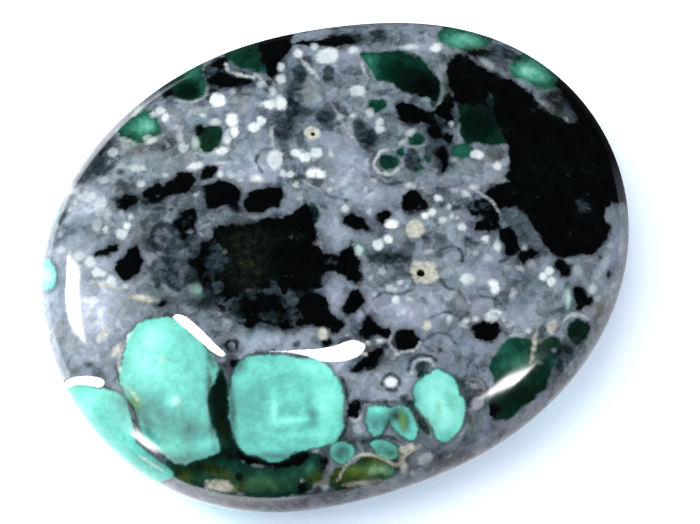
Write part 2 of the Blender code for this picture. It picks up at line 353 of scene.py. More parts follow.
# White specks of the chalcedony, as spots with a strength from 0 to 1, the boldest first.
WHITE_SPOTS = (
    (218, 100, 9, 7.5, 0, 1.0), (232, 120, 6.5, 8, 0, 1.0), (234, 131, 5, 6, 0, 0.95),
    (254, 127, 7, 5, -15, 1.0), (261, 121, 5, 5, 0, 0.95), (281, 103, 6, 8, 0, 1.0),
    (270, 104, 8, 5, 0, 0.95), (312, 173, 6, 5, 0, 1.0), (320, 174, 6, 4.5, 0, 1.0),
    (316, 171, 6, 4, 0, 1.0), (305, 157, 6, 5.5, 0, 0.95), (297, 153, 7, 4.5, 0, 0.85),
    (316, 153, 6.5, 6, 0, 0.9), (392, 224, 7, 5.5, 0, 1.0), (425, 216, 5, 4, 0, 1.0),
    (432, 212, 5, 4.5, 0, 1.0), (378, 244, 6, 6, 0, 1.0), (388, 239, 6, 4.5, 0, 0.95),
    (543, 276, 6, 5, 0, 1.0), (549, 271, 5, 5, 0, 1.0), (551, 281, 5, 5.5, 0, 1.0),
    (493, 284, 5.5, 5, 0, 0.95), (495, 290, 5, 5.5, 0, 0.9), (438, 198, 4.4, 4.2, 0, 0.95),
    (396, 300, 4.6, 4.4, 0, 0.95), (391, 382, 6.2, 5.4, 0, 0.9), (121, 234, 6.5, 5.5, 0, 0.9),
    (127, 226, 4.5, 4.5, 20, 0.9), (111, 280, 6, 5, 20, 0.85), (222, 151, 8, 4.5, -10, 0.95),
    (227, 138, 4, 9, 10, 0.8), (436, 48, 6.5, 5, 0, 0.85), (160, 111, 6, 4.5, -25, 0.9),
    (165, 117, 4, 6, 15, 0.8), (154, 114, 5, 3, -30, 0.7), (298, 54, 5, 5, 0, 0.8),
    (327, 56, 12, 8.5, -15, 0.72), (275, 160, 8, 11, 0, 0.72), (98, 323, 3, 2.8, 0, 0.8),
    (485, 239, 4.2, 4, 0, 0.8), (497, 247, 4, 5.5, 0, 0.75), (467, 279, 7.5, 6, 0, 0.72),
    (528, 331, 4, 3.6, 0, 0.75), (467, 321, 4, 3.5, 0, 0.75), (476, 319, 4, 3.2, 0, 0.7),
    (203, 115, 3.6, 3.2, 0, 0.75), (196, 166, 9, 4, -15, 0.75), (476, 154, 6, 5, 0, 0.72),
    (497, 166, 5, 4.5, 0, 0.7), (97, 272, 5, 5, 0, 0.75), (103, 274, 4, 4, 0, 0.7),
    (368, 343, 2.6, 2, 0, 0.8), (380, 341, 5, 3, 0, 0.7), (397, 354, 2.6, 2.2, 0, 0.7),
    (309, 68, 14, 2.4, 49, 0.6), (281, 67, 4, 5, 0, 0.62), (281, 79, 5, 5, 0, 0.58),
    (272, 91, 4, 5, 0, 0.5), (262, 104, 5, 3, 0, 0.55), (314, 47, 4, 4, 0, 0.6),
    (354, 50, 6, 4.5, 0, 0.6), (358, 91, 9, 6, 0, 0.6), (410, 47, 9, 3, -5, 0.55),
    (380, 122, 5, 5, 0, 0.6), (380, 129, 5, 5, 0, 0.6), (340, 118, 6, 3, -20, 0.45),
    (352, 116, 6, 3, -30, 0.45), (342, 121, 18, 1.8, 60, 0.42), (370, 115, 4, 3, 0, 0.4),
    (331, 153, 2.5, 6, -20, 0.45), (283, 173, 4, 4, 0, 0.58), (291, 174, 5, 4, 0, 0.62),
    (296, 184, 4, 4, 0, 0.58), (300, 198, 3.5, 3, 0, 0.42), (257, 178, 6, 3.5, 0, 0.58),
    (272, 135, 2, 12, -5, 0.42), (314, 187, 14, 1.5, 27, 0.42), (330, 190, 3, 3, 0, 0.45),
    (366, 190, 3, 3, 0, 0.4), (409, 185, 4, 3, 0, 0.52), (414, 187, 3, 2, 0, 0.45),
    (345, 209, 4, 4, 0, 0.55), (369, 211, 3, 3, 0, 0.48), (443, 220, 5, 3.5, 0, 0.55),
    (449, 207, 3, 3, 0, 0.5), (452, 216, 3, 3, 0, 0.5), (457, 218, 3, 2.5, 0, 0.42),
    (462, 227, 5, 4.5, 0, 0.6), (466, 193, 5, 4, 0, 0.58), (474, 187, 6, 4, 0, 0.58),
    (427, 252, 6, 3, 0, 0.32), (382, 271, 5, 5, 0, 0.32), (370, 278, 3, 2.8, 0, 0.48),
    (374, 295, 3, 3, 0, 0.38), (389, 288, 5, 4, 0, 0.58), (394, 289, 3.5, 3, 0, 0.48),
    (400, 282, 4, 3, 0, 0.52), (409, 299, 5, 3, 0, 0.45), (488, 64, 10, 4, 35, 0.32),
    (411, 133, 6, 4, -30, 0.45), (402, 143, 7, 2, -40, 0.38), (452, 124, 3, 3, 0, 0.55),
    (475, 253, 3, 2.5, 0, 0.48), (488, 257, 6, 5, 0, 0.28), (513, 293, 3.2, 6, 10, 0.42),
    (524, 248, 3, 3, 0, 0.45), (520, 268, 5, 2.5, 20, 0.38), (531, 264, 5.5, 5, 0, 0.28),
    (577, 270, 5.5, 5, 0, 0.28), (593, 289, 5.5, 5, 20, 0.62), (598, 298, 4, 4, 0, 0.38),
    (610, 246, 4, 4, 0, 0.32), (620, 249, 2.5, 6, 0, 0.28), (597, 275, 5, 8, 20, 0.28),
    (605, 262, 5, 8, 20, 0.25), (612, 286, 3, 3, 0, 0.32), (449, 319, 3, 5, 0, 0.55),
    (463, 325, 6, 3, 20, 0.38), (522, 334, 7, 2, -10, 0.55), (512, 323, 3, 3, 0, 0.5),
    (554, 350, 3, 2.6, 0, 0.25), (541, 363, 3, 2.4, 0, 0.3), (412, 372, 2.6, 2.4, 0, 0.48),
    (364, 354, 3, 2.2, 0, 0.55), (478, 403, 6, 8, 30, 0.32), (474, 386, 7, 3, 20, 0.28),
    (413, 474, 4, 3.5, 0, 0.32), (425, 459, 9, 6.5, -25, 0.5), (302, 480, 2.4, 2.4, 0, 0.5),
    (325, 487, 3.6, 2.6, 0, 0.48), (207, 488, 3.2, 2.4, 0, 0.48), (240, 494, 3, 2, 0, 0.32),
    (131, 216, 4, 3.5, 0, 0.55), (121, 213, 3, 3, 0, 0.42), (105, 230, 4, 4, 0, 0.55),
    (90, 262, 7, 6, 20, 0.6), (80, 256, 6, 5, 0, 0.42), (125, 286, 3.6, 3, 0, 0.6),
    (61, 250, 5, 4, 0, 0.45), (103, 290, 2.6, 2.6, 0, 0.45), (75, 203, 4, 3, 0, 0.45),
    (183, 148, 5, 6, 0, 0.5), (180, 137, 4, 5, 0, 0.35), (178, 128, 5, 4, 0, 0.32),
    (215, 122, 6, 4, 0, 0.55), (198, 110, 11, 3.5, -15, 0.35), (222, 163, 12, 1.6, 0, 0.45),
    (113, 152, 5.5, 5, 0, 0.45), (125, 146, 6, 4, 0, 0.28), (120, 165, 5, 3.5, 0, 0.32),
    (103, 180, 5, 3.5, 0, 0.45), (135, 168, 6, 4, 0, 0.55), (143, 168, 3.5, 3, 0, 0.45),
    (141, 184, 5, 4, 0, 0.55), (165, 175, 3.6, 3, 0, 0.45), (220, 174, 4, 4, 0, 0.55),
    (232, 176, 4, 3, 0, 0.5), (240, 180, 4, 3, 0, 0.45), (195, 143, 4, 7, 0, 0.42),
    (148, 138, 6, 4, -10, 0.4), (125, 141, 8, 2.5, 20, 0.36), (233, 91, 4, 4, 0, 0.32),
    (260, 84, 4, 4, 0, 0.36), (87, 197, 10, 6, 10, 0.42), (100, 206, 6, 10, 20, 0.42),
    (98, 226, 5, 8, 0, 0.36), (72, 191, 8, 4, 0, 0.42), (247, 290, 3, 2, 0, 0.1),
    (226, 321, 5, 3, 0, 0.3), (505, 181, 4, 2, 0, 0.3), (455, 190, 4, 2, 0, 0.3),
    (350, 128, 2, 5, -20, 0.35), (176, 402, 5, 6, 0, 0.35), (162, 358, 4, 5, 0, 0.3),
    (436, 300, 5, 4, 0, 0.18), (455, 292, 4, 3, 0, 0.2), (508, 268, 4, 3, 0, 0.22),
    (421, 188, 3, 2, 0, 0.3), (558, 336, 5, 2, 0, 0.2), (318, 243, 4, 3, 0, 0.2),
    (224, 252, 3, 3, 0, 0.12), (538, 318, 3, 2, 0, 0.25), (85, 224, 4, 3, 0, 0.3),
    (359, 250, 4.5, 6, 0, 0.5), (439, 402, 21, 31, -12, 0.08), (196, 289, 7, 6, 0, 0.16),
    (138, 111, 8, 3, -35, 0.45), (152, 140, 7, 3.4, -25, 0.62), (128, 141, 9, 3, 20, 0.45),
    (568, 298, 3.6, 9, 0, 0.6), (492, 318, 7, 4.4, 0, 0.75), (370, 112, 4, 4, 0, 0.4),
    (479, 155, 5, 5, 0, 0.8), (84, 301, 4, 4, 0, 0.3), (70, 345, 5, 14, 10, 0.2),
    (455, 160, 6, 3, 0, 0.25), (108, 214, 4, 6, 0, 0.35), (60, 235, 3, 4, 0, 0.3),
    (190, 232, 3, 2, 0, 0.25), (200, 222, 3, 3, 0, 0.25), (150, 212, 4, 2, 0, 0.2),
)

# Pale lines: rims of nodules and veinlets, and two painted glints along the lower left edge and
# the left clam's left edge, as a half width, a strength and a run of points.
PALE_LINES_AND_PAINTED_GLINTS = (
    (1.3, 0.65, ((411, 373), (413, 366), (417, 361), (426, 359), (432, 361), (434, 367))),
    (1.1, 0.7, ((420, 343), (417, 348), (411, 351), (402, 352))),
    (1.1, 0.6, ((350, 418), (354, 421), (359, 419), (361, 414))),
    (2.0, 0.85, ((486, 316), (491, 312), (497, 311), (502, 315), (505, 321))),
    (1.6, 0.6, ((505, 321), (508, 327), (512, 323))),
    (1.8, 0.6, ((563, 322), (566, 318), (572, 315), (580, 315), (587, 319))),
    (1.9, 0.6, ((388, 150), (381, 151), (377, 157), (374, 165), (379, 172), (390, 174), (398, 169))),
    (1.1, 0.55, ((478, 191), (484, 196), (491, 200), (496, 208), (501, 215))),
    (1.9, 0.62, ((226, 64), (229, 71), (236, 74), (246, 76), (254, 78))),
    (1.6, 0.5, ((362, 61), (364, 69), (368, 78))), (1.9, 0.5, ((255, 75), (261, 79), (265, 86))),
    (1.2, 0.5, ((511, 335), (518, 334), (524, 336))), (1.0, 0.8, ((139, 456), (150, 463), (163, 471))),
    (1.3, 0.5, ((80, 296), (86, 293), (92, 297), (93, 304), (88, 309), (81, 307), (79, 301))),
    (1.6, 0.7, ((120, 372), (119, 360), (123, 347), (130, 335))),
    (1.3, 0.4, ((196, 140), (194, 148), (199, 154), (210, 155), (219, 148))),
    (1.4, 0.35, ((176, 100), (186, 102), (197, 101), (205, 96), (207, 88))),
    (1.3, 0.35, ((466, 383), (471, 379), (479, 380), (485, 388))),
    (1.2, 0.3, ((505, 318), (514, 322), (520, 330))),
    (1.1, 0.4, ((392, 336), (389, 342), (392, 348), (398, 352))),
    (1.4, 0.45, ((565, 292), (564, 300), (568, 308))),
)

# Cream and yellow-olive spots, some of them hollow.
CREAM_SPOTS = (
    (415, 229, 9, 9, 0), (425, 266, 12, 5, 0), (431, 275, 7, 7, 0), (426, 280, 9, 4, 0),
    (415, 270, 4, 8, 0), (117, 350, 7.5, 3.4, -50), (104, 334, 8, 3.4, -45), (312, 133, 8, 6.5, 0),
    (427, 326, 4, 5, 0), (105, 285, 12, 2.2, 15), (143, 298, 12, 3, 10), (552, 327, 4, 6, 20),
    (534, 345, 2, 11, 10), (404, 468, 4, 5, 0), (323, 334, 5, 6, 0), (258, 179, 6, 2.6, 0),
    (362, 483, 14, 2.0, -8), (220, 486, 14, 6, 10), (404, 450, 5, 4, -20), (410, 448, 6, 4, -20),
)
# Cream seams, as a half width and a run of points.
CREAM_LINES = (
    (1.0, ((338, 480), (346, 466), (357, 456), (370, 455), (384, 459), (394, 465))),
    (1.9, ((394, 466), (401, 463), (404, 456), (412, 450), (419, 446))),
    (1.0, ((126, 386), (133, 393), (138, 400))),
)
# Olive stains: soft clouds, with a strength.
OLIVE_SPOTS = (
    (182, 148, 36, 26, 0, 0.3), (240, 98, 16, 14, 0, 0.25), (305, 92, 16, 16, 0, 0.25),
    (223, 424, 4, 16, -10, 0.55), (438, 407, 3, 9, 8, 0.45), (450, 401, 3, 7, -20, 0.35),
    (244, 264, 20, 26, 0, 1.0), (212, 469, 10, 6, 20, 1.0), (224, 474, 10, 4, 10, 1.0),
    (230, 488, 16, 7, 0, 0.9), (320, 480, 14, 9, 0, 1.2), (356, 482, 16, 5, -8, 1.0),
    (374, 458, 16, 6, 10, 0.9), (340, 474, 9, 10, 0, 1.0), (405, 456, 9, 10, -30, 0.9),
    (600, 310, 12, 18, 20, 0.8), (474, 420, 9, 10, 30, 0.7), (140, 150, 14, 8, 0, 0.4),
    (143, 225, 10, 16, 0, 0.45), (240, 104, 8, 8, 0, 0.4), (426, 276, 10, 6, 0, 0.5),
    (556, 104, 16, 12, 40, 0.8), (495, 155, 8, 7, 0, 0.8), (445, 84, 4, 14, 0, 0.9),
    (145, 296, 20, 9, 0, 0.4), (185, 476, 12, 8, 0, 0.9), (403, 421, 3.4, 10, -8, 1.3),
    (355, 472, 12, 8, 0, 0.9), (118, 185, 12, 8, 0, 0.3), (445, 60, 9, 8, 0, 0.5),
    (540, 338, 9, 8, 0, 0.5), (252, 238, 40, 10, 0, 0.5), (135, 402, 6, 10, -20, 1.0),
    (262, 484, 34, 10, 0, 0.45), (528, 392, 28, 12, -35, 0.15), (578, 334, 12, 12, 0, 0.2),
    (376, 470, 20, 10, 0, 0.75), (484, 52, 14, 5, 10, 0.8), (306, 97, 14, 14, 0, 0.3),
    (175, 150, 20, 14, 0, 0.25), (128, 312, 9, 9, 0, 0.2), (610, 340, 8, 20, 30, 0.6),
    (260, 270, 14, 16, 0, 0.4), (590, 170, 14, 8, 0, 0.25), (540, 170, 30, 20, 0, 0.15),
)
# Where a glassy skin of chalcedony runs over the edge of a clam.
GLAZE_SPOTS = ((145, 441, 20, 12, 40),)
# Small open pits, with their depth in millimetres.
VUGS = ((421, 273, 4.4, 3.4, 0, 0.45), (313, 134, 2.4, 2, 0, 0.08))

# How pale or smoky the chalcedony is: soft clouds, as spots with a strength from -1 to 1.
# The two pale clouds at the left edge beside the window glint are a painted halo of that glint,
# and the long dark cloud along the bottom rim darkens the rim there.
MATRIX_CLOUDS_AND_PAINTED_HALO = (
    (95, 310, 36, 40, 0, 0.56), (52, 305, 12, 60, 0, 0.42), (85, 205, 26, 22, 0, 0.45),
    (90, 255, 22, 18, 0, 0.35), (350, 175, 26, 36, 0, 0.34), (262, 165, 22, 22, 0, 0.3),
    (225, 165, 30, 16, 0, 0.15), (405, 312, 36, 16, 0, 0.34), (300, 150, 26, 30, 0, 0.05),
    (265, 340, 34, 9, 0, 0.36), (336, 298, 12, 20, 0, 0.36), (336, 235, 10, 18, 0, 0.25),
    (205, 235, 14, 20, 40, 0.1), (392, 190, 22, 14, 0, 0.22), (470, 175, 22, 12, 0, 0.1),
    (440, 345, 40, 30, 0, 0.06), (380, 385, 26, 30, 0, 0.12), (520, 290, 40, 30, 0, -0.05),
    (250, 265, 62, 48, 0, -0.62), (255, 300, 60, 26, 0, -0.45), (300, 265, 30, 26, 0, -0.35),
    (170, 262, 22, 26, 0, -0.3), (150, 240, 24, 14, 0, -0.16), (390, 258, 22, 7, 0, -0.45),
    (285, 130, 22, 22, 0, -0.42), (330, 118, 18, 16, 0, -0.35), (366, 140, 12, 22, -15, -0.45),
    (292, 90, 14, 30, 0, -0.45), (240, 76, 36, 14, -20, -0.4), (345, 42, 40, 8, 0, -0.14),
    (440, 150, 18, 30, 0, -0.45), (430, 128, 22, 12, 0, -0.3), (410, 160, 20, 22, 0, -0.16),
    (140, 200, 36, 8, -15, -0.45), (195, 200, 24, 14, 0, -0.3), (380, 250, 40, 50, 0, -0.06),
    (500, 205, 20, 26, 0, -0.2), (540, 250, 26, 20, 40, -0.26), (525, 275, 30, 12, 0, -0.12),
    (560, 355, 20, 16, 0, -0.45), (604, 290, 14, 42, 15, 0.36), (350, 345, 26, 18, 0, -0.1),
    (425, 400, 50, 50, 0, 0.02), (470, 395, 14, 26, -20, -0.26), (450, 460, 50, 14, -15, -0.2),
    (370, 445, 40, 10, 0, -0.26), (222, 420, 12, 50, 0, -0.55), (500, 60, 50, 12, 20, -0.3),
    (560, 95, 30, 16, 50, -0.35), (590, 110, 14, 30, -25, -0.6), (100, 165, 16, 16, 0, -0.22),
    (120, 190, 14, 10, 0, -0.18), (212, 120, 26, 30, 0, -0.08), (140, 100, 60, 14, -35, -0.3),
    (480, 110, 30, 20, 0, -0.2), (420, 75, 36, 24, 0, -0.2), (255, 495, 95, 14, 0, -0.42),
    (616, 235, 12, 30, 0, 0.3), (300, 320, 40, 12, 0, -0.2), (205, 270, 16, 34, 0, -0.12),
    (104, 340, 14, 40, 0, 0.1), (185, 300, 36, 10, 10, -0.06), (98, 155, 34, 13, -48, -0.5),
    (582, 202, 12, 12, 0, -0.6), (520, 225, 15, 20, -30, -0.28), (556, 104, 18, 12, 40, -0.16),
    (458, 114, 6, 14, 0, -0.45), (300, 33, 40, 6, -8, 0.12), (390, 36, 50, 8, 0, -0.06),
    (158, 215, 14, 12, 0, -0.1), (395, 380, 24, 18, 0, 0.22), (510, 250, 14, 12, 0, -0.1),
    (605, 285, 10, 20, 0, 0.1), (565, 250, 16, 8, 0, -0.15), (470, 300, 30, 14, 0, 0.06),
    (208, 90, 10, 16, 0, -0.2), (330, 95, 10, 18, 0, 0.1), (430, 175, 16, 8, 0, 0.1),
)

# How pale or deep the aqua is inside the clams, and how light the green is in its grains.
# Some aqua clouds are painted light. The near-white ones at the left rim and the thin bright
# lines inside the second clam are painted reflections. The dark bands along the left, top and
# lower edges of the clams are painted shade.
CLAM_CLOUDS_AND_PAINTED_LIGHT = (
    (152, 336, 24, 18, 0, 0.45), (165, 372, 24, 18, 0, 0.25), (142, 365, 12, 24, 0, 0.35),
    (172, 400, 8, 9, 0, 0.4), (190, 430, 24, 20, 0, -0.42), (160, 420, 16, 16, 0, -0.28),
    (196, 385, 14, 20, 0, -0.1), (150, 400, 14, 14, 0, -0.3), (211, 402, 4, 44, -4, -0.8),
    (135, 406, 7, 12, -25, -0.45), (136, 416, 4, 16, -15, -0.3), (205, 444, 12, 7, 0, 0.3),
    (176, 444, 10, 8, 0, 0.12), (180, 460, 26, 6, -8, -0.5), (148, 428, 5, 18, -15, -0.4),
    (212, 360, 4, 18, -20, -0.45), (274, 408, 3.2, 17, 0, 0.45), (293, 420, 20, 4, -4, 0.5),
    (313, 417, 5, 10, 0, -0.6), (308, 405, 4, 12, 0, -0.3), (326, 400, 14, 34, 0, 0.34),
    (310, 366, 20, 8, 0, 0.3), (258, 374, 16, 6, -10, 0.18), (280, 378, 12, 8, 0, -0.22),
    (248, 404, 16, 24, 0, -0.24), (262, 440, 30, 8, 0, -0.1), (310, 434, 26, 5, 0, 0.25),
    (290, 396, 12, 10, 0, 0.05), (275, 456, 30, 5, 0, -0.55), (232, 410, 5, 40, -4, -0.65),
    (240, 366, 12, 6, -50, -0.5), (344, 414, 3, 30, 0, -0.3), (290, 430, 18, 4, 0, -0.15),
    (262, 392, 5, 22, 0, -0.15), (100, 402, 18, 14, 0, 0.05), (84, 410, 12, 30, 30, 0.45),
    (125, 440, 20, 12, 35, 0.22), (150, 462, 26, 8, 32, -0.15), (122, 400, 6, 12, 0, -0.25),
    (438, 400, 20, 26, 0, 0.5), (374, 420, 12, 16, 0, -0.26), (400, 424, 13, 17, 0, -0.22),
    (341, 452, 18, 15, 0, -0.34), (384, 450, 17, 11, 0, -0.32), (448, 422, 14, 14, 0, 0.2),
    (446, 393, 4, 4, 0, -0.25), (437, 405, 3, 6, -30, -0.3), (449, 405, 3, 4, 0, -0.3),
    (416, 398, 5, 14, 0, -0.35), (430, 424, 6, 10, -30, -0.35), (460, 424, 5, 12, 10, 0.25),
    (377, 410, 10, 4, 0, 0.3), (378, 424, 9, 9, 0, -0.22), (395, 415, 8, 8, 0, -0.75),
    (405, 421, 5, 10, 0, -0.55), (412, 434, 6, 7, 0, 0.1), (387, 426, 4, 8, 0, -0.45),
    (342, 452, 12, 10, 0, -0.34), (352, 447, 4, 6, 0, 0.2), (384, 448, 12, 8, 0, -0.2),
    (376, 445, 4, 4, 0, 0.2), (391, 454, 5, 4, 0, -0.45), (47, 275, 10, 16, 0, 0.9),
    (54, 214, 5, 10, 0, 0.5),
)
GREEN_CLOUDS = (
    (219, 392, 12, 30, -5, -0.5), (226, 425, 12, 18, -8, -0.42), (234, 452, 12, 14, 0, -0.15),
    (512, 364, 22, 8, -5, 0.26), (503, 350, 10, 8, 0, 0.2), (520, 348, 14, 10, 0, 0.1),
    (520, 395, 30, 14, -30, -0.24), (545, 345, 12, 8, 0, -0.1), (577, 334, 12, 12, 0, -0.24),
    (370, 62, 9, 12, 0, 0.3), (372, 74, 6, 8, 0, 0.14), (424, 88, 24, 18, 20, -0.8),
    (400, 66, 14, 14, 0, -0.16), (248, 56, 18, 14, 0, -0.14), (188, 90, 12, 8, 0, -0.48),
    (192, 72, 14, 7, -30, 0.28), (203, 88, 5, 8, 0, 0.4), (176, 92, 8, 6, 0, -0.1),
    (142, 128, 16, 12, 0, 0.55), (150, 124, 8, 8, 0, 0.24), (208, 140, 14, 14, 0, -0.18),
    (532, 72, 24, 14, 20, 0.62), (521, 70, 9, 9, 0, 0.12), (463, 40, 26, 12, 5, 0.62),
    (463, 150, 12, 8, 0, 0.36), (480, 120, 24, 26, 0, -0.52), (389, 162, 9, 8, 0, -0.12),
    (196, 143, 5, 6, 0, 0.5), (492, 108, 5, 17, 0, 0.05), (262, 484, 24, 10, 0, 0.3),
    (235, 464, 12, 8, 0, 0.1), (300, 470, 16, 10, 0, 0.08), (310, 468, 6, 8, 0, 0.26),
    (230, 455, 60, 5, 0, -0.4), (205, 466, 14, 6, 0, -0.3), (185, 470, 14, 6, 0, -0.2),
    (352, 470, 10, 8, 0, 0.25), (380, 471, 18, 9, 0, 0.7), (380, 476, 5, 4, 0, -0.3),
    (569, 298, 5, 12, 0, 0.8), (135, 404, 6, 9, 0, 0.3), (424, 374, 8, 4, 0, 0.1),
    (199, 290, 9, 7, 0, 0.46), (400, 152, 6, 5, 0, 0.05), (143, 112, 6, 6, 0, 0.12),
    (462, 384, 5, 8, 0, 0.12), (359, 250, 6, 7, 0, 0.62), (313, 214, 7, 11, 0, -0.22),
    (508, 238, 9, 10, 0, -0.3), (490, 222, 9, 8, 0, -0.3), (418, 166, 6, 8, 0, 0.05),
    (322, 332, 5, 5, 0, 0.1), (300, 496, 70, 5, -8, -0.2),
)

# Outlines, in pixels, of small facets taken to be worn flat on the harder chalcedony beside the
# clams. The window glints there.
WORN_FACETS = (
    (
        (172, 316), (180, 314), (190, 319), (202, 330), (214, 342), (225, 353), (222, 357), (212, 352),
        (199, 341), (188, 331), (178, 323),
    ),
    (
        (262, 351), (276, 350.2), (290, 350), (306, 349), (320, 348), (335, 345), (349, 340), (360, 341),
        (366, 346), (361, 355), (350, 360), (338, 362), (322, 362), (308, 357), (290, 353), (270, 352.4),
    ),
    (
        (62, 384), (70, 378), (80, 376), (92, 376), (102, 379), (105, 384), (99, 388), (88, 386),
        (76, 386), (66, 390),
    ),
)
FACET_LAMP = "left window"

# Where each lamp stands: its compass angle anticlockwise from +X and its height, in degrees.
LAMP_PLACES = {
    "left window": (130.5, 39.5), "near pane": (183.0, 36.0), "right": (-48.5, 56.0),
    "fill": (-10.0, 32.0),
}
LAMP_DISTANCE = 0.6  # metres from the middle of the stone
STONE_MIDDLE = (0.0, 0.0, 0.006)  # metres: the point that the lamps face
TABLE_RADIUS = 1.2  # metres
TABLE_GLOW = 0.62  # the light that the camera sees the table give off by itself

# The polish relief, in millimetres.
CLAM_RECESS = 0.03  # how far the softer clams are worn down
CLAM_RECESS_WIDTH = 1.4  # how wide the slope down to them is
RIPPLE_DEPTH = 0.0012  # the slight waves that the polishing leaves
RIPPLE_LENGTH = 3.4  # from crest to crest
PIT_STEEPNESS = 1.6  # how soon a pit reaches its full depth

# How far the markings reach.
REACH = 24.0  # pixels beyond which a marking has no say
LINE_REACH = 60.0  # pixels from the middle of a thin line to the furthest place it can mark
CLOUD_FALL = 1.2  # how fast a soft cloud fades
EDGE_CLOSING = 5.0  # millimetres by which a marking closes where the skin has turned right away

# The made-up grains on the hidden side, in millimetres past the edge of the seen face.
HIDDEN_START = 0.9  # where they begin
HIDDEN_MARGIN = 1.0  # how far behind it the middle of the smallest one lies at least
HIDDEN_CLOSING = 2.5  # how sharply they are cut off towards the seen face
HIDDEN_RAGGED = 0.22  # how uneven their edges are
HIDDEN_WHITE = 0.55  # how strong the white ones are
NOISE_WAVES = 12  # waves that make up one smooth noise


def outline_radius(angles):
    """The smooth closed curve through the outline's radii, in metres."""
    stations = np.asarray(OUTLINE_RADII) * MM
    waves = np.fft.rfft(stations) / len(stations)
    radius = np.full_like(angles, waves[0].real)
    for order, wave in enumerate(waves[1:], start=1):
        share = 1.0 if order == len(stations) // 2 else 2.0
        radius += share * (wave * np.exp(1j * order * angles)).real
    return radius


def profile_curve():
    """The smooth edge profile as how far along it is, share of radius and height in metres."""
    cage = np.asarray(PROFILE_CAGE)
    cage = np.vstack([2 * cage[0] - cage[1], cage, 2 * cage[-1] - cage[-2]])
    spans = []
    for start in range(len(cage) - 3):
        a, b, c, d = cage[start : start + 4]
        for u in np.linspace(0.0, 1.0, CURVE_STEPS, endpoint=False):
            spans.append(
                ((1 - u) ** 3 * a + (3 * u**3 - 6 * u**2 + 4) * b
                 + (-3 * u**3 + 3 * u**2 + 3 * u + 1) * c + u**3 * d) / 6
            )
    curve = np.array(spans)
    curve[:, 0] = np.clip(curve[:, 0] / curve[:, 0].max(), 0.0, 1.0)
    curve[:, 1] *= MM
    across = curve * (np.mean(OUTLINE_RADII) * MM, 1.0)
    lengths = np.linalg.norm(np.diff(across, axis=0), axis=1)
    travelled = np.concatenate([[0.0], np.cumsum(lengths)])
    return travelled / travelled[-1], curve


def read_vectors(items, name):
    """One vector of every vertex or normal, as rows."""
    values = np.empty(len(items) * 3, np.float32)
    items.foreach_get(name, values)
    return values.reshape(-1, 3).astype(float)


def pebble_skin():
    """A cube's grid drawn onto the pebble, closer on the face than underneath."""
    bm = bmesh.new()
    bmesh.ops.create_cube(bm, size=2.0)
    bmesh.ops.subdivide_edges(bm, edges=bm.edges[:], cuts=GRID - 1, use_grid_fill=True)
    bmesh.ops.recalc_face_normals(bm, faces=bm.faces[:])
    mesh = bpy.data.meshes.new("pebble_skin")
    bm.to_mesh(mesh)
    bm.free()
    even = np.tan(read_vectors(mesh.vertices, "co") * math.pi / 4)
    even /= np.linalg.norm(even, axis=1, keepdims=True)
    travelled, curve = profile_curve()
    widest = travelled[np.argmax(curve[:, 0])]
    polar = np.degrees(np.arccos(np.clip(even[:, 2], -1.0, 1.0)))
    down = np.interp(polar, (0.0, FACE_SHARE, 180.0), (0.0, widest, 1.0))
    angles = np.arctan2(even[:, 1], even[:, 0])
    radius = np.interp(down, travelled, curve[:, 0]) * outline_radius(angles)
    height = np.maximum(np.interp(down, travelled, curve[:, 1]), 0.0)
    places = np.stack([radius * np.cos(angles), radius * np.sin(angles), height], axis=1)
    places[:, :2] -= (places[:, :2].max(axis=0) + places[:, :2].min(axis=0)) / 2
    mesh.vertices.foreach_set("co", places.astype(np.float32).ravel())
    mesh.update()
    mesh.shade_smooth()
    return mesh


def camera_axes():
    """Where the camera stands, in metres, and its right, up and backward directions."""
    azimuth, elevation = math.radians(CAMERA_AZIMUTH), math.radians(CAMERA_ELEVATION)
    back = np.array([
        math.sin(azimuth) * math.cos(elevation),
        -math.cos(azimuth) * math.cos(elevation),
        math.sin(elevation),
    ])
    right = np.array([math.cos(azimuth), math.sin(azimuth), 0.0])
    eye = (np.asarray(CAMERA_AIM_MM) + back * CAMERA_DISTANCE_MM) * MM
    return eye, right, np.cross(back, right), back


class Surface:
    """The skin's points as the camera sees them, and how far round the edge the hidden ones lie."""

    def __init__(self, mesh):
        self.points = read_vectors(mesh.vertices, "co")
        self.normals = read_vectors(mesh.vertex_normals, "vector")
        eye, right, up, back = camera_axes()
        offset = self.points - eye
        distance = -(offset @ back)
        scale = LENS_MM / SENSOR_MM * PHOTO_WIDTH
        self.x = PHOTO_WIDTH / 2 + scale * (offset @ right) / distance
        self.y = PHOTO_HEIGHT / 2 - scale * (offset @ up) / distance
        self.pixels_per_mm = scale * MM / distance
        facing = np.einsum("ij,ij->i", self.normals, -offset) / np.linalg.norm(offset, axis=1)
        waver = 1.0 + 0.3 * rolling_noise(self.points, 3.0, 61)
        self.behind = EDGE_CLOSING * np.maximum(-facing, 0.0) * np.maximum(waver, 0.4)

    def in_millimetres(self, pixels):
        """A depth in pixels inside a marking as millimetres, closing with depth behind the face."""
        return pixels / self.pixels_per_mm - self.behind


def smooth_run(points, closed, steps=4):
    """A smooth curve through a run of points."""
    points = np.asarray(points, float)
    count = len(points)
    if closed:
        before, after, ahead = np.roll(points, 1, 0), np.roll(points, -1, 0), np.roll(points, -2, 0)
        starts = points
    else:
        padded = np.vstack([2 * points[0] - points[1], points, 2 * points[-1] - points[-2]])
        before, starts, after, ahead = padded[:-3], padded[1:-2], padded[2:-1], padded[3:]
        count -= 1
    made = []
    for step in range(steps):
        u = step / steps
        made.append(
            0.5 * (2 * starts + (after - before) * u
                   + (2 * before - 5 * starts + 4 * after - ahead) * u**2
                   + (3 * starts - before - 3 * after + ahead) * u**3)
        )
    run = np.stack(made, axis=1).reshape(count * steps, 2)
    return run if closed else np.vstack([run, points[-1]])


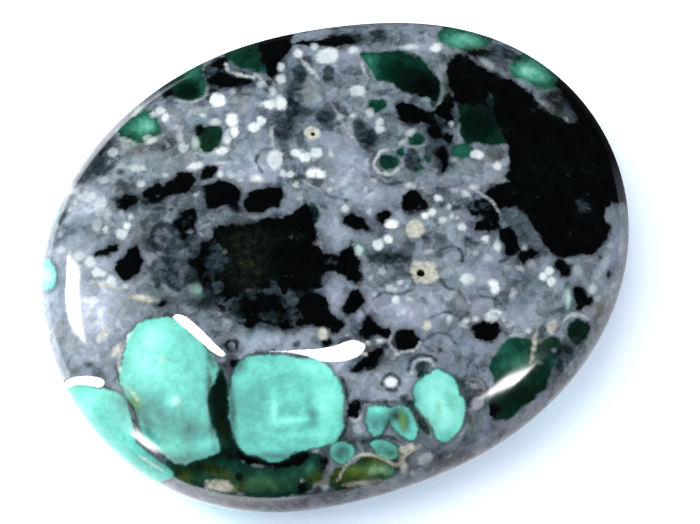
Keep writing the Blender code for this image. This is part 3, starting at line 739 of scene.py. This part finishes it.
def run_distance(x, y, run, closed):
    """Each place's distance from a run of points, in the run's own units."""
    nearest = np.full(len(x), np.inf)
    ends = np.roll(run, -1, 0) if closed else run[1:]
    for (ax, ay), (bx, by) in zip(run, ends):
        dx, dy = bx - ax, by - ay
        along = np.clip(((x - ax) * dx + (y - ay) * dy) / max(dx * dx + dy * dy, 1e-9), 0.0, 1.0)
        nearest = np.minimum(nearest, np.hypot(x - ax - along * dx, y - ay - along * dy))
    return nearest


def outline_depth(x, y, points):
    """How far inside an outline each place is; outside is negative, and far off is left out."""
    run = smooth_run(points, closed=True)
    depth = np.full(len(x), -REACH)
    low, high = run.min(axis=0) - REACH, run.max(axis=0) + REACH
    near = (x > low[0]) & (x < high[0]) & (y > low[1]) & (y < high[1])
    px, py = x[near], y[near]
    odd = np.zeros(len(px), bool)
    for (ax, ay), (bx, by) in zip(run, np.roll(run, -1, 0)):
        if ay != by:
            crosses = (ay > py) != (by > py)
            odd ^= crosses & (px < (bx - ax) * (py - ay) / (by - ay) + ax)
    distance = run_distance(px, py, run, closed=True)
    depth[near] = np.where(odd, distance, -distance)
    return depth


def spot_share(x, y, spot):
    """Distance from a spot's middle, as a share of its own half width and height."""
    middle_x, middle_y, half_width, half_height, turn = spot[:5]
    cosine, sine = math.cos(math.radians(turn)), math.sin(math.radians(turn))
    across = ((x - middle_x) * cosine + (y - middle_y) * sine) / half_width
    along = (-(x - middle_x) * sine + (y - middle_y) * cosine) / half_height
    return np.hypot(across, along)


def line_distance(x, y, points):
    """Which places are near an open run of points, and how far from it these are."""
    run = smooth_run(points, closed=False)
    near = (np.abs(x - run[:, 0].mean()) < LINE_REACH) & (np.abs(y - run[:, 1].mean()) < LINE_REACH)
    return near, run_distance(x[near], y[near], run, closed=False)


def mark_depth(surface, outlines=(), spots=(), lines=(), gaps=()):
    """The deepest that any of these markings puts each point, in millimetres."""
    x, y = surface.x, surface.y
    depth = np.full(len(x), -REACH)
    for points in outlines:
        depth = np.maximum(depth, outline_depth(x, y, points))
    for spot in spots:
        depth = np.maximum(depth, (1.0 - spot_share(x, y, spot)) * min(spot[2], spot[3]))
    for half_width, points in lines:
        near, distance = line_distance(x, y, points)
        depth[near] = np.maximum(depth[near], half_width - distance)
    for gap in gaps:
        depth = np.minimum(depth, (spot_share(x, y, gap) - 1.0) * min(gap[2], gap[3]))
    return surface.in_millimetres(depth)


def white_marks(surface):
    """The depth of the white specks, pale lines and painted glints, and how strong the deepest one is."""
    x, y = surface.x, surface.y
    depth, strength = np.full(len(x), -REACH), np.zeros(len(x))
    for spot in WHITE_SPOTS:
        here = (1.0 - spot_share(x, y, spot)) * min(spot[2], spot[3])
        strength = np.where(here > depth, spot[5], strength)
        depth = np.maximum(depth, here)
    for half_width, line_strength, points in PALE_LINES_AND_PAINTED_GLINTS:
        near, distance = line_distance(x, y, points)
        here = half_width - distance
        strength[near] = np.where(here > depth[near], line_strength, strength[near])
        depth[near] = np.maximum(depth[near], here)
    return surface.in_millimetres(depth), strength


def cloud_strength(surface, clouds):
    """The sum of soft clouds at each point, fading out behind the seen face."""
    total = np.zeros(len(surface.x))
    for cloud in clouds:
        total += cloud[5] * np.exp(-CLOUD_FALL * spot_share(surface.x, surface.y, cloud) ** 2)
    return total * np.exp(-surface.behind)


def rolling_noise(points, length, seed):
    """Smooth seeded noise from -1 to 1 over points in metres, with this wavelength in mm."""
    random = np.random.default_rng(seed)
    total = np.zeros(len(points))
    for _ in range(NOISE_WAVES):
        direction = random.normal(size=3)
        wavelength = np.linalg.norm(direction) * length * MM * random.uniform(0.7, 1.5)
        direction *= 2 * math.pi / wavelength
        total += np.sin(points @ direction + random.uniform(0, 2 * math.pi))
    return total / (NOISE_WAVES / 3)


def hidden_depth(surface, seed, count, sizes, stretch):
    """Made-up grains where the photograph doesn't show the stone, as depth in millimetres."""
    random = np.random.default_rng(seed)
    ragged = rolling_noise(surface.points, 2.2, seed + 1)
    depth = np.full(len(surface.x), -REACH)
    for _ in range(count):
        radius = random.uniform(*sizes)
        hidden = np.flatnonzero(surface.behind > HIDDEN_MARGIN + 0.6 * radius)
        turn = random.uniform(0, math.pi)
        offset = (surface.points - surface.points[random.choice(hidden)]) / MM
        across = offset[:, 0] * math.cos(turn) + offset[:, 1] * math.sin(turn)
        along = -offset[:, 0] * math.sin(turn) + offset[:, 1] * math.cos(turn)
        distance = np.sqrt((across / stretch) ** 2 + along**2 + offset[:, 2] ** 2)
        depth = np.maximum(depth, radius * (1.0 + HIDDEN_RAGGED * ragged) - distance)
    short = np.maximum(HIDDEN_START + 0.2 * ragged - surface.behind, 0.0)
    return depth - HIDDEN_CLOSING * short


def lamp_direction(name):
    """The direction from the stone to a lamp."""
    compass, height = (math.radians(angle) for angle in LAMP_PLACES[name])
    return np.array([
        math.cos(compass) * math.cos(height), math.sin(compass) * math.cos(height), math.sin(height),
    ])


def worn_facets(surface):
    """The depth of the worn facets and which way each one faces, as a colour from 0 to 1."""
    eye = camera_axes()[0]
    depth = np.full(len(surface.x), -REACH)
    facing = np.tile((0.5, 0.5, 1.0), (len(surface.x), 1))
    for outline in WORN_FACETS:
        middle_x, middle_y = np.mean(outline, axis=0)
        distance = np.hypot(surface.x - middle_x, surface.y - middle_y)
        nearest = np.argmin(distance + 100 * surface.behind)
        towards_eye = eye - surface.points[nearest]
        half = towards_eye / np.linalg.norm(towards_eye) + lamp_direction(FACET_LAMP)
        here = outline_depth(surface.x, surface.y, outline)
        facing[here > depth] = 0.5 + 0.5 * half / np.linalg.norm(half)
        depth = np.maximum(depth, here)
    return surface.in_millimetres(depth), facing


def polish_relief(surface, clam_depth):
    """How far each point is worn below the smooth pebble, in millimetres."""
    recess = CLAM_RECESS * np.clip(0.5 + clam_depth / CLAM_RECESS_WIDTH, 0.0, 1.0)
    ripple = RIPPLE_DEPTH * (1.0 + rolling_noise(surface.points, RIPPLE_LENGTH, 11))
    pits = np.zeros(len(surface.x))
    for vug in VUGS:
        share = 1.0 - spot_share(surface.x, surface.y, vug)
        pits = np.maximum(pits, vug[5] * np.clip(PIT_STEEPNESS * share, 0, 1))
    return recess + ripple + pits * (surface.behind == 0.0)


def set_attribute(mesh, name, values):
    """Keeps one number, or one vector, for each point of the mesh."""
    if values.ndim == 1:
        attribute = mesh.attributes.new(name, "FLOAT", "POINT")
        attribute.data.foreach_set("value", values.astype(np.float32))
    else:
        attribute = mesh.attributes.new(name, "FLOAT_VECTOR", "POINT")
        attribute.data.foreach_set("vector", values.astype(np.float32).ravel())


def marked_skin():
    """The pebble's skin with its polish relief and the depth of each mineral at each point."""
    mesh = pebble_skin()
    surface = Surface(mesh)
    clams = mark_depth(surface, CLAM_OUTLINES.values(), CLAM_SPOTS)
    clams = np.maximum(clams, hidden_depth(surface, seed=21, count=7, sizes=(1.6, 3.4), stretch=1.3))
    black = mark_depth(surface, BLACK_OUTLINES.values(), BLACK_SPOTS, gaps=BLACK_GAPS)
    black = np.maximum(black, hidden_depth(surface, seed=31, count=46, sizes=(0.3, 1.9), stretch=1.5))
    green = mark_depth(surface, GREEN_OUTLINES.values(), GREEN_SPOTS)
    green = np.maximum(green, hidden_depth(surface, seed=41, count=22, sizes=(0.4, 1.7), stretch=1.3))
    white, strength = white_marks(surface)
    hidden_white = hidden_depth(surface, seed=51, count=130, sizes=(0.16, 0.5), stretch=1.4)
    strength = np.where(hidden_white > white, HIDDEN_WHITE, strength)
    facets, facing = worn_facets(surface)
    for name, values in {
        "clam_depth": clams,
        "black_depth": black,
        "green_depth": green,
        "white_depth": np.maximum(white, hidden_white),
        "white_strength": strength,
        "slate_and_painted_shade_depth": mark_depth(surface, spots=SLATE_SPOTS, lines=SLATE_LINES_AND_PAINTED_SHADE),
        "cream_depth": mark_depth(surface, spots=CREAM_SPOTS, lines=CREAM_LINES),
        "facet_depth": facets,
        "facet_facing": facing,
        "glaze_depth": mark_depth(surface, spots=GLAZE_SPOTS),
        "vug_depth": mark_depth(surface, spots=VUGS),
        "matrix_tone_and_painted_halo": cloud_strength(surface, MATRIX_CLOUDS_AND_PAINTED_HALO),
        "clam_tone_and_painted_light": cloud_strength(surface, CLAM_CLOUDS_AND_PAINTED_LIGHT),
        "green_tone": cloud_strength(surface, GREEN_CLOUDS),
        "black_tone": cloud_strength(surface, BLACK_CLOUDS),
        "olive_tone": cloud_strength(surface, OLIVE_SPOTS),
    }.items():
        set_attribute(mesh, name, values)
    sunk = surface.points - surface.normals * (polish_relief(surface, clams) * MM)[:, None]
    sunk[:, 2] = np.maximum(sunk[:, 2], 0.0)
    mesh.vertices.foreach_set("co", sunk.astype(np.float32).ravel())
    mesh.update()
    return mesh


def linear(hex_colour):
    """An sRGB hex colour as the linear red, green, blue and alpha that sockets take."""
    parts = [int(hex_colour[i : i + 2], 16) / 255 for i in (1, 3, 5)]
    return (*(p / 12.92 if p <= 0.04045 else ((p + 0.055) / 1.055) ** 2.4 for p in parts), 1.0)


def add(tree, kind, inputs=None, stops=None, **settings):
    """Adds one node with its settings, its colour stops, and its sockets' values or links."""
    node = tree.nodes.new("ShaderNode" + kind)
    for name, value in settings.items():
        setattr(node, name, value)
    if stops:
        elements = node.color_ramp.elements
        while len(elements) < len(stops):
            elements.new(0.5)
        for element, (place, colour) in zip(elements, stops):
            element.position = place
            element.color = linear(colour)
    for socket, value in (inputs or {}).items():
        if isinstance(value, bpy.types.NodeSocket):
            tree.links.new(value, node.inputs[socket])
        else:
            node.inputs[socket].default_value = value
    return node


def scale_for(size_mm):
    """The texture scale at which one cell of a pattern is this many millimetres."""
    return 1.0 / (size_mm * MM)


def weighed(tree, start, *parts):
    """A start value plus each part's difference from a half, times the part's weight."""
    total = start
    for value, weight in parts:
        centred = add(tree, "Math", {0: value, 1: 0.5}, operation="SUBTRACT").outputs[0]
        total = add(tree, "Math", {0: centred, 1: weight, 2: total}, operation="MULTIPLY_ADD").outputs[0]
    return total


def inside(tree, attribute, soft, shift, *fray):
    """White inside a mineral: its depth in millimetres, frayed by noises, with a soft edge."""
    depth = add(tree, "Attribute", attribute_name=attribute).outputs["Fac"]
    return add(tree, "MapRange", {
        "Value": weighed(tree, depth, *fray), "From Min": shift - soft, "From Max": shift + soft,
        "To Min": 0.0, "To Max": 1.0,
    }, interpolation_type="SMOOTHSTEP").outputs[0]


def toned(tree, attribute, middle, gain, *noises):
    """A tone round its middle value: an attribute's soft clouds plus weighted noises."""
    cloud = add(tree, "Attribute", attribute_name=attribute).outputs["Fac"]
    clouded = add(tree, "Math", {0: cloud, 1: gain, 2: middle}, operation="MULTIPLY_ADD").outputs[0]
    return weighed(tree, clouded, *noises)


MIX_FACTOR, MIX_A, MIX_B, MIX_RESULT = 0, 6, 7, 2  # a Mix node's sockets when it mixes colours


def coated(tree, ground, *coats):
    """The ground with each coat laid over it in turn: a colour, its mask and its share."""
    for colour, mask, share in coats:
        covering = add(tree, "Math", {0: mask, 1: share}, operation="MULTIPLY", use_clamp=True)
        ground = add(tree, "Mix", {
            MIX_FACTOR: covering.outputs[0], MIX_A: ground, MIX_B: colour,
        }, data_type="RGBA").outputs[MIX_RESULT]
    return ground


# The rock's own unevenness: millimetres across, octaves, roughness and distortion of each noise.
NOISES = {
    "broad": (3.4, 2.0, 0.5, 0.3), "patch": (1.7, 3.0, 0.55, 0.5), "clot": (1.0, 3.0, 0.55, 0.6),
    "edge": (0.75, 3.0, 0.6, 0.3), "edge_fine": (0.32, 2.0, 0.5, 0.0), "fine": (0.42, 4.0, 0.6, 0.0),
    "dust": (0.16, 2.0, 0.5, 0.0), "brown": (2.1, 3.0, 0.55, 0.4), "teal": (1.6, 2.0, 0.5, 0.4),
    "lilac": (4.2, 2.0, 0.5, 0.0),
}


def polished_variscite_chalcedony():
    """Grey chalcedony with variscite clams, tumbled and polished.

    It gives the eye a glassy grey ground, mottled and full of pale specks, with jet-black
    patches, dark green grains, and opaque aqua clams whose softer face is a little waxier.
    """
    material = bpy.data.materials.new("polished_variscite_chalcedony")
    material.use_nodes = True
    tree = material.node_tree
    tree.nodes.clear()
    place = add(tree, "TexCoord").outputs["Object"]
    noise = {
        name: add(tree, "TexNoise", {
            "Vector": place, "Scale": scale_for(size), "Detail": octaves, "Roughness": roughness,
            "Distortion": distortion,
        }).outputs["Fac"]
        for name, (size, octaves, roughness, distortion) in NOISES.items()
    }

    # Rounded grains, bent by noise so that no two are alike.
    bend = add(tree, "TexNoise", {"Vector": place, "Scale": scale_for(0.9), "Detail": 3.0})
    bent = add(tree, "MixRGB", {
        "Fac": 1.0 * MM, "Color1": place, "Color2": bend.outputs["Color"],
    }, blend_type="ADD").outputs[0]
    grains = add(tree, "TexVoronoi", {
        "Vector": bent, "Scale": scale_for(1.15), "Smoothness": 0.25,
    }, feature="SMOOTH_F1")
    small_grains = add(tree, "TexVoronoi", {
        "Vector": bent, "Scale": scale_for(0.5), "Smoothness": 0.25,
    }, feature="SMOOTH_F1")
    lobes = add(tree, "TexVoronoi", {"Vector": bent, "Scale": scale_for(0.75)}).outputs["Distance"]
    grain_tone = add(tree, "SeparateColor", {0: grains.outputs["Color"]}).outputs[0]
    small_tone = add(tree, "SeparateColor", {0: small_grains.outputs["Color"]}).outputs[1]

    # The ground's greys, stained brown, green and lilac here and there, and lightened beside the
    # left window glint by a painted halo.
    tone = toned(
        tree, "matrix_tone_and_painted_halo", 0.495, 0.60, (grain_tone, 0.16), (small_tone, 0.15), (noise["broad"], 0.18),
        (noise["patch"], 0.34), (noise["fine"], 0.28), (noise["dust"], 0.06),
    )
    grey = add(tree, "ValToRGB", {0: tone}, (
        (0.0, "#070a0c"), (0.18, "#1d262b"), (0.36, "#4a545d"), (0.52, "#79858f"), (0.68, "#98a4b2"),
        (0.84, "#bdc8d8"), (1.0, "#e4ebf5"),
    )).outputs["Color"]
    olive_shade = add(tree, "ValToRGB", {0: tone}, (
        (0.0, "#060903"), (0.35, "#29301c"), (0.6, "#77795f"), (1.0, "#c3c8a8"),
    )).outputs["Color"]
    bright = add(tree, "MapRange", {"Value": tone, "From Min": 0.22, "From Max": 0.5}).outputs[0]
    stains = []
    for name, low, high in (("brown", 0.50, 0.70), ("teal", 0.54, 0.72), ("lilac", 0.50, 0.66)):
        stain = add(tree, "MapRange", {"Value": noise[name], "From Min": low, "From Max": high})
        stains.append(add(tree, "Math", {0: stain.outputs[0], 1: bright}, operation="MULTIPLY").outputs[0])
    brown, teal, lilac = stains
    olive = add(tree, "Attribute", attribute_name="olive_tone").outputs["Fac"]

    # Pale crumbs that are too small and too many to place one by one.
    crumbs = add(tree, "TexVoronoi", {"Vector": bent, "Scale": scale_for(1.2)})
    crumb_size = add(tree, "SeparateColor", {0: crumbs.outputs["Color"]}).outputs[2]
    crumb_edge = add(tree, "Math", {0: crumb_size, 1: 0.36, 2: -0.08}, operation="MULTIPLY_ADD").outputs[0]
    crumb = add(tree, "Math", {0: crumb_edge, 1: crumbs.outputs["Distance"]}, operation="SUBTRACT").outputs[0]
    crumb = add(tree, "MapRange", {"Value": crumb, "From Min": 0.0, "From Max": 0.12}).outputs[0]
    crumb = add(tree, "Math", {0: crumb, 1: bright}, operation="MULTIPLY").outputs[0]
    ground = coated(
        tree, grey, (linear("#7e7c74"), brown, 0.30), (linear("#557a80"), teal, 0.34),
        (linear("#9293b4"), lilac, 0.22), (olive_shade, olive, 0.75), (linear("#bfcad6"), crumb, 0.42),
    )

    # Green grains: from almost black through bottle green to a light sea green.
    edge, edge_fine = noise["edge"], noise["edge_fine"]
    green_tone = toned(
        tree, "green_tone", 0.46, 0.66, (noise["clot"], 0.34), (noise["fine"], 0.24), (noise["broad"], 0.10),
    )
    green = add(tree, "ValToRGB", {0: green_tone}, (
        (0.0, "#010504"), (0.28, "#03170f"), (0.46, "#0a3327"), (0.64, "#23604e"), (0.82, "#54a08b"),
        (1.0, "#9ad8c8"),
    )).outputs["Color"]
    mossy = add(tree, "ValToRGB", {0: green_tone}, (
        (0.0, "#050802"), (0.4, "#1f2c0a"), (0.7, "#567236"), (1.0, "#acc68c"),
    )).outputs["Color"]
    green = coated(tree, green, (mossy, olive, 1.0))
    green_mask = inside(tree, "green_depth", 0.13, 0.0, (edge, 0.50), (edge_fine, 0.14), (lobes, 0.24))
    green_halo = inside(tree, "green_depth", 0.16, -0.14, (edge, 0.50), (edge_fine, 0.20))

    # Jet-black patches with lobed edges and a smoky margin, thinning here and there to slate.
    jet = add(tree, "ValToRGB", {0: noise["clot"]}, (
        (0.35, "#000101"), (0.60, "#020404"), (0.80, "#080e0d"),
    )).outputs["Color"]
    mossy_jet = add(tree, "ValToRGB", {0: noise["fine"]}, (
        (0.35, "#040807"), (0.55, "#101a13"), (0.75, "#26311d"),
    )).outputs["Color"]
    jet = coated(tree, jet, (mossy_jet, olive, 0.95))
    slate_tone = weighed(tree, 0.42, (noise["fine"], 0.45), (noise["clot"], 0.6), (small_tone, 0.30))
    slate = add(tree, "ValToRGB", {0: slate_tone}, (
        (0.10, "#04070a"), (0.35, "#182329"), (0.60, "#36444a"), (0.95, "#73807f"),
    )).outputs["Color"]
    thin = add(tree, "Attribute", attribute_name="black_tone").outputs["Fac"]
    thin = weighed(tree, thin, (noise["clot"], 1.1), (small_tone, 0.5))
    thin = add(tree, "MapRange", {"Value": thin, "From Min": 0.38, "From Max": 0.75}).outputs[0]
    jet = coated(tree, jet, (slate, thin, 0.85))
    black_mask = inside(tree, "black_depth", 0.13, 0.0, (edge, 0.55), (edge_fine, 0.14), (lobes, 0.32))
    smoke = inside(tree, "black_depth", 0.34, -0.18, (edge, 0.8), (edge_fine, 0.3))
    # The slate lines that run along the clams' edges are painted shade.
    slate_and_painted_shade_mask = inside(tree, "slate_and_painted_shade_depth", 0.12, 0.0, (edge, 0.35), (edge_fine, 0.16))

    # Aqua clams with milky and deeper clouds, some of them painted reflections and painted shade,
    # and a thin shadowed joint round them.
    clam_tone_and_painted_light = toned(
        tree, "clam_tone_and_painted_light", 0.55, 0.60, (noise["clot"], 0.42), (noise["fine"], 0.22), (noise["patch"], 0.26),
        (noise["dust"], 0.06),
    )
    aqua = add(tree, "ValToRGB", {0: clam_tone_and_painted_light}, (
        (0.0, "#0d2c28"), (0.18, "#2c6f66"), (0.34, "#4b9c92"), (0.50, "#57bfae"), (0.66, "#6edcc9"),
        (0.84, "#8bf1e0"), (1.0, "#b8fbf3"),
    )).outputs["Color"]
    aqua = coated(tree, aqua, (linear("#5f9a3a"), olive, 0.7))
    clam_mask = inside(tree, "clam_depth", 0.12, 0.0, (edge, 0.42), (edge_fine, 0.16))
    joint = inside(tree, "clam_depth", 0.18, -0.14, (edge, 0.42), (edge_fine, 0.20))

    # White specks, pale lines and two painted glints over all, then cream, and painted shade on the
    # floor of the vugs.
    white_mask = inside(tree, "white_depth", 0.13, 0.04, (edge_fine, 0.26), (edge, 0.26))
    strength = add(tree, "Attribute", attribute_name="white_strength").outputs["Fac"]
    white_mask = add(tree, "Math", {0: white_mask, 1: strength}, operation="MULTIPLY").outputs[0]
    white = add(tree, "ValToRGB", {0: noise["clot"]}, ((0.3, "#c9d6d6"), (0.6, "#eef5f7"))).outputs["Color"]
    cream_mask = inside(tree, "cream_depth", 0.13, 0.0, (edge_fine, 0.24), (edge, 0.24))
    cream = add(tree, "ValToRGB", {0: noise["fine"]}, ((0.35, "#b6b59e"), (0.65, "#efeee0"))).outputs["Color"]
    # Painted shade: the floor of each vug is painted dark.
    vug_shade_mask = inside(tree, "vug_depth", 0.06, 0.0, (edge_fine, 0.08))
    colour = coated(
        tree, ground, (linear("#7f9c98"), green_halo, 0.22), (green, green_mask, 1.0),
        (slate, slate_and_painted_shade_mask, 0.88), (linear("#161f25"), smoke, 0.46), (jet, black_mask, 1.0),
        (linear("#12302c"), joint, 0.66), (aqua, clam_mask, 1.0), (cream, cream_mask, 0.70),
        (white, white_mask, 0.96), (linear("#14150d"), vug_shade_mask, 1.0),
    )

    # The harder chalcedony takes a glassy polish, and the softer variscite a waxy one.
    glaze = inside(tree, "glaze_depth", 0.10, 0.0, (edge_fine, 0.2))
    facet = inside(tree, "facet_depth", 0.07, 0.0, (edge_fine, 0.10))
    glassy = add(tree, "Math", {0: glaze, 1: facet}, operation="MAXIMUM").outputs[0]
    waxy = add(tree, "Math", {0: clam_mask, 1: glassy}, operation="SUBTRACT", use_clamp=True).outputs[0]
    rough = add(tree, "MapRange", {
        "Value": waxy, "From Min": 0.0, "From Max": 1.0, "To Min": 0.11, "To Max": 0.42,
    }).outputs[0]
    rough = weighed(tree, rough, (noise["fine"], 0.04))
    faces = add(tree, "Attribute", attribute_name="facet_facing").outputs["Vector"]
    normal = add(tree, "NormalMap", {"Strength": facet, "Color": faces}, space="OBJECT").outputs[0]
    stone = add(tree, "BsdfPrincipled", {
        "Base Color": colour, "Roughness": rough, "IOR": 1.54, "Normal": normal,
    })
    add(tree, "OutputMaterial", {"Surface": stone.outputs[0]})
    return material


def matt_table():
    """White laminate with a matt face, which glows a little for the camera so that it stays bright.

    In the stone's polish it shows a painted glow of its own: bright on the window's side, paler
    in front and dark elsewhere.
    """
    material = bpy.data.materials.new("matt_white_table")
    material.use_nodes = True
    tree = material.node_tree
    surface = tree.nodes["Principled BSDF"]
    surface.inputs["Base Color"].default_value = linear("#f1f1f3")
    surface.inputs["Roughness"].default_value = 0.9
    surface.inputs["Specular IOR Level"].default_value = 0.1
    surface.inputs["Emission Color"].default_value = linear("#d3e8ff")
    path = add(tree, "LightPath")
    glow = add(tree, "Math", {0: path.outputs["Is Camera Ray"], 1: TABLE_GLOW}, operation="MULTIPLY")
    tree.links.new(glow.outputs[0], surface.inputs["Emission Strength"])
    # Glossy rays see the table give off this glow: a painted reflection, not light falling on it.
    place = add(tree, "TexCoord").outputs["Object"]
    _, right, _, back = camera_axes()
    front = np.array([back[0], back[1], 0.0]) / math.hypot(back[0], back[1])
    window_side, near_side = 0.3 * front - right, 0.8 * front + 0.6 * right
    painted_reflection = 0.0
    for side, nearest, furthest, least, most in (
        (window_side, 9, 19, 0.04, 4.0), (near_side, 5, 18, 0.0, 1.1),
    ):
        along = add(tree, "VectorMath", {0: place, 1: tuple(side)}, operation="DOT_PRODUCT")
        brightness = add(tree, "MapRange", {
            "Value": along.outputs["Value"], "From Min": nearest * MM, "From Max": furthest * MM,
            "To Min": least, "To Max": most,
        }).outputs[0]
        painted_reflection = add(tree, "Math", {0: brightness, 1: painted_reflection}, operation="ADD").outputs[0]
    distance = add(tree, "VectorMath", {0: place}, operation="LENGTH").outputs["Value"]
    nearness = add(tree, "MapRange", {
        "Value": distance, "From Min": 30 * MM, "From Max": 130 * MM, "To Min": 1.0, "To Max": 0.0,
    }, interpolation_type="SMOOTHERSTEP").outputs[0]
    painted_reflection = add(tree, "Math", {0: painted_reflection, 1: nearness}, operation="MULTIPLY").outputs[0]
    glow_in_polish = add(tree, "Emission", {"Color": linear("#f2f6ff"), "Strength": painted_reflection})
    either = add(tree, "MixShader", {
        0: path.outputs["Is Glossy Ray"], 1: surface.outputs[0], 2: glow_in_polish.outputs[0],
    })
    tree.links.new(either.outputs[0], tree.nodes["Material Output"].inputs["Surface"])
    return material


def table():
    """A plain pale floor, far wider than the stone."""
    bm = bmesh.new()
    bmesh.ops.create_circle(bm, cap_ends=True, segments=96, radius=TABLE_RADIUS)
    mesh = bpy.data.meshes.new("table")
    bm.to_mesh(mesh)
    bm.free()
    mesh.materials.append(matt_table())
    floor = bpy.data.objects.new("table", mesh)
    bpy.context.scene.collection.objects.link(floor)


def softbox(name, direction, size, radiance, colour, fade=0.0, diffuse=True, glossy=True):
    """A rectangular light of this width, height and radiance, facing the stone.

    It dims towards its edges over the share of its half width that fade gives.
    """
    direction = Vector(direction)
    light = bpy.data.lights.new(name, "AREA")
    light.shape = "RECTANGLE"
    light.size, light.size_y = size
    light.energy = radiance * math.pi * size[0] * size[1]
    light.color = linear(colour)[:3]
    if fade:
        light.use_nodes = True
        tree = light.node_tree
        spot = add(tree, "NewGeometry").outputs["Parametric"]
        offset = add(tree, "VectorMath", {0: spot, 1: (0.5, 0.5, 0.0)}, operation="SUBTRACT").outputs[0]
        offset = add(tree, "VectorMath", {0: offset}, operation="ABSOLUTE").outputs[0]
        sides = add(tree, "SeparateXYZ", {0: offset}).outputs
        outward = add(tree, "Math", {0: sides[0], 1: sides[1]}, operation="MAXIMUM").outputs[0]
        strength = add(tree, "MapRange", {
            "Value": outward, "From Min": 0.5 - fade / 2, "From Max": 0.5, "To Min": 1.0, "To Max": 0.0,
        }, interpolation_type="SMOOTHSTEP").outputs[0]
        tree.links.new(strength, tree.nodes["Emission"].inputs["Strength"])
    holder = bpy.data.objects.new(name, light)
    holder.location = direction * LAMP_DISTANCE + Vector(STONE_MIDDLE)
    holder.rotation_euler = direction.to_track_quat("Z", "Y").to_euler()
    holder.visible_camera = False
    holder.visible_diffuse = diffuse
    holder.visible_glossy = glossy
    bpy.context.scene.collection.objects.link(holder)


def studio():
    """A window to the left, big soft lights without glare, and small lamps for sparkle."""
    softbox("left_window", lamp_direction("left window"), (0.165, 0.135), 29.0, "#fffdf6")
    softbox("top_light", (-0.30, 0.25, 0.92), (0.5, 0.5), 4.7, "#f6f9ff", glossy=False)
    softbox("fill", lamp_direction("fill"), (0.5, 0.4), 1.8, "#f8f9ff", glossy=False)
    softbox("near_pane", lamp_direction("near pane"), (0.16, 0.27), 27.0, "#ffffff", 0.75, diffuse=False)
    softbox("right", lamp_direction("right"), (0.066, 0.145), 34.0, "#ffffff", 0.3, diffuse=False)
    world = bpy.data.worlds.new("dim_room")
    bpy.context.scene.world = world
    world.use_nodes = True
    tree = world.node_tree
    tree.nodes.clear()
    seen = add(tree, "Background", {"Color": linear("#fbfcff"), "Strength": 1.0})
    room = add(tree, "Background", {"Color": linear("#dfe4ff"), "Strength": 0.035})
    path = add(tree, "LightPath")
    either = add(tree, "MixShader", {
        0: path.outputs["Is Camera Ray"], 1: room.outputs[0], 2: seen.outputs[0],
    })
    add(tree, "OutputWorld", {"Surface": either.outputs[0]})


def camera():
    """The camera at the photograph's viewing angle."""
    eye, _, _, back = camera_axes()
    lens = bpy.data.cameras.new("camera")
    lens.lens = LENS_MM
    lens.sensor_width = SENSOR_MM
    lens.clip_start, lens.clip_end = 0.01, 10.0
    holder = bpy.data.objects.new("camera", lens)
    holder.location = Vector(eye)
    holder.rotation_euler = Vector(back).to_track_quat("Z", "Y").to_euler()
    bpy.context.scene.collection.objects.link(holder)
    bpy.context.scene.camera = holder


def pebble():
    """The polished skin that takes the place of the plain solid."""
    mesh = marked_skin()
    mesh.materials.append(polished_variscite_chalcedony())
    stone = bpy.data.objects.new("pebble_skin", mesh)
    bpy.context.scene.collection.objects.link(stone)
    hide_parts("polished_stone")
    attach(stone, "root")


def main():
    bpy.context.scene.view_settings.view_transform = "Standard"
    camera()
    table()
    studio()
    pebble()


main()
